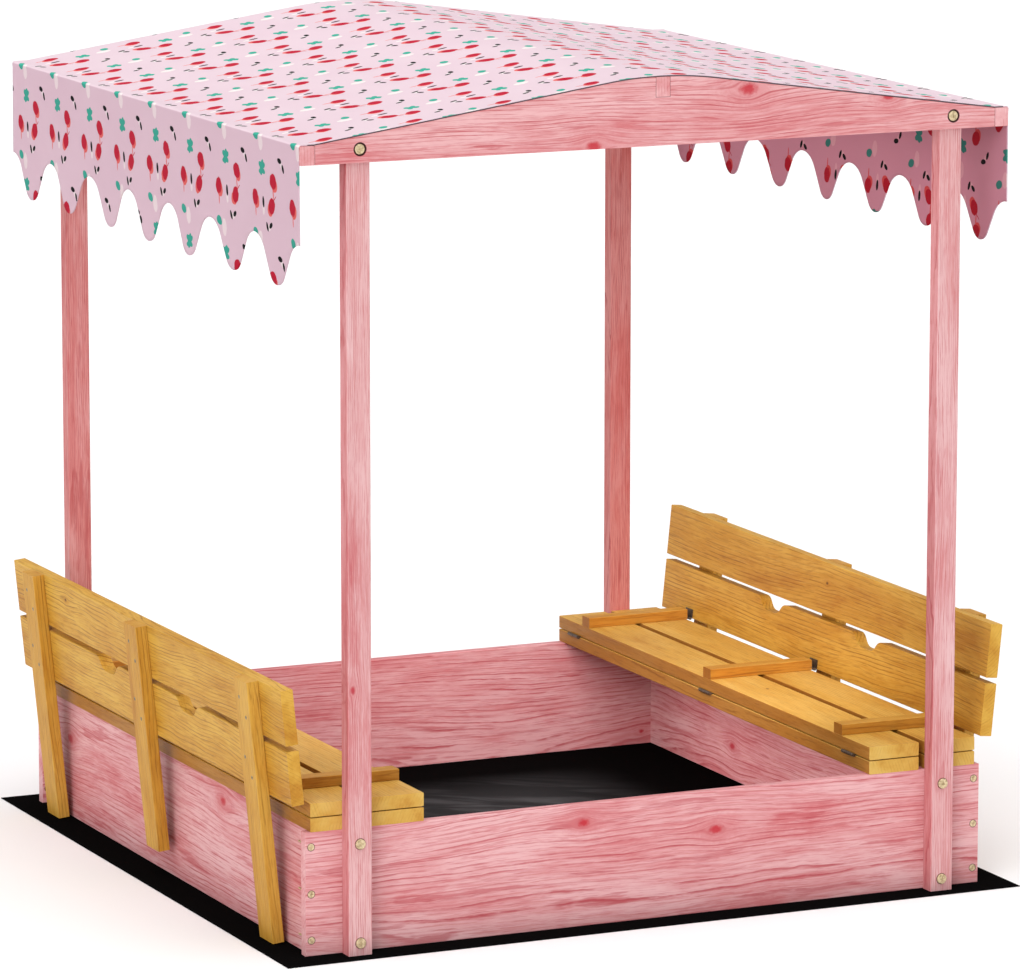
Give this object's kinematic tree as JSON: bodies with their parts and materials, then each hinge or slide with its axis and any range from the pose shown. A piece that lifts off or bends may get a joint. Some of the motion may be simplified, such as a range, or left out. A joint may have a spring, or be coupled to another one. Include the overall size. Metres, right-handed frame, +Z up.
{
  "type": "covered sandbox",
  "caption": "Square wooden sandbox with a gabled cloth canopy on corner posts; side benches with backrests fold inwards to cover the sand.",
  "frame": {"origin": "on the ground under the middle of the box", "axes": "+Z up; X runs across the roof's slopes, from the left bench to the right bench; Y runs along the ridge, with the front gable at -Y"},
  "size_m": [1.3222, 1.302, 1.3686],
  "materials": {
    "pink_wood": "pine with a translucent rose-pink stain, grain and knots showing",
    "honey_wood": "pine with a translucent honey stain, grain and knots showing",
    "canopy_cloth": "matt woven polyester, pale pink with a small print",
    "sheet_cloth": "matt black woven ground cloth",
    "zinc_steel": "yellow zinc-plated steel",
    "hinge_steel": "bright zinc-plated steel"
  },
  "bodies": {
    "frame": {"back_gable_beam": "pink_wood", "back_wall": "pink_wood", "canopy": "canopy_cloth", "corner_screws": "zinc_steel", "front_gable_beam": "pink_wood", "front_wall": "pink_wood", "gable_bolt_nuts": "zinc_steel", "gable_bolts": "zinc_steel", "ground_sheet": "sheet_cloth", "left_base_screws": "zinc_steel", "left_base_slat_inner": "honey_wood", "left_base_slat_outer": "honey_wood", "left_eave_rail": "pink_wood", "left_seat_hinge_fixed_leaves": "hinge_steel", "left_wall": "pink_wood", "post_back_left": "pink_wood", "post_back_right": "pink_wood", "post_front_left": "pink_wood", "post_front_right": "pink_wood", "ridge_bar": "pink_wood", "right_base_screws": "zinc_steel", "right_base_slat_inner": "honey_wood", "right_base_slat_outer": "honey_wood", "right_eave_rail": "pink_wood", "right_seat_hinge_fixed_leaves": "hinge_steel", "right_wall": "pink_wood", "roof_screws": "zinc_steel", "wall_bolts": "zinc_steel"},
    "left_seat": {"left_back_hinge_seat_leaves": "hinge_steel", "left_seat_batten_back": "honey_wood", "left_seat_batten_front": "honey_wood", "left_seat_batten_middle": "honey_wood", "left_seat_batten_screws": "zinc_steel", "left_seat_hinge_moving_leaves": "hinge_steel", "left_seat_slat_inner": "honey_wood", "left_seat_slat_outer": "honey_wood"},
    "left_back": {"left_back_batten_back": "honey_wood", "left_back_batten_front": "honey_wood", "left_back_batten_middle": "honey_wood", "left_back_batten_screws": "hinge_steel", "left_back_hinge_back_leaves": "hinge_steel", "left_back_slat_lower": "honey_wood", "left_back_slat_upper": "honey_wood"},
    "right_seat": {"right_back_hinge_seat_leaves": "hinge_steel", "right_seat_batten_back": "honey_wood", "right_seat_batten_front": "honey_wood", "right_seat_batten_middle": "honey_wood", "right_seat_batten_screws": "zinc_steel", "right_seat_hinge_moving_leaves": "hinge_steel", "right_seat_slat_inner": "honey_wood", "right_seat_slat_outer": "honey_wood"},
    "right_back": {"right_back_batten_back": "honey_wood", "right_back_batten_front": "honey_wood", "right_back_batten_middle": "honey_wood", "right_back_batten_screws": "hinge_steel", "right_back_hinge_back_leaves": "hinge_steel", "right_back_slat_lower": "honey_wood", "right_back_slat_upper": "honey_wood"}
  },
  "joints": [
    {"name": "left_seat_fold", "type": "hinge", "parent": "frame", "child": "left_seat", "pos_m": [-0.3935, 0, 0.2242], "axis": [0, 1, 0], "range_deg": [0, 180]},
    {"name": "left_back_fold", "type": "hinge", "parent": "left_seat", "child": "left_back", "pos_m": [-0.59778, 0, 0.248], "axis": [0, -1, 0], "range_deg": [0, 84.3]},
    {"name": "right_seat_fold", "type": "hinge", "parent": "frame", "child": "right_seat", "pos_m": [0.3935, 0, 0.2242], "axis": [0, -1, 0], "range_deg": [0, 180]},
    {"name": "right_back_fold", "type": "hinge", "parent": "right_seat", "child": "right_back", "pos_m": [0.59778, 0, 0.248], "axis": [0, 1, 0], "range_deg": [0, 84.3]}
  ],
  "couplings": [
    {"joint": "left_back_fold", "follows": "left_seat_fold", "ratio": 0.46833},
    {"joint": "right_back_fold", "follows": "right_seat_fold", "ratio": 0.46833}
  ]
}
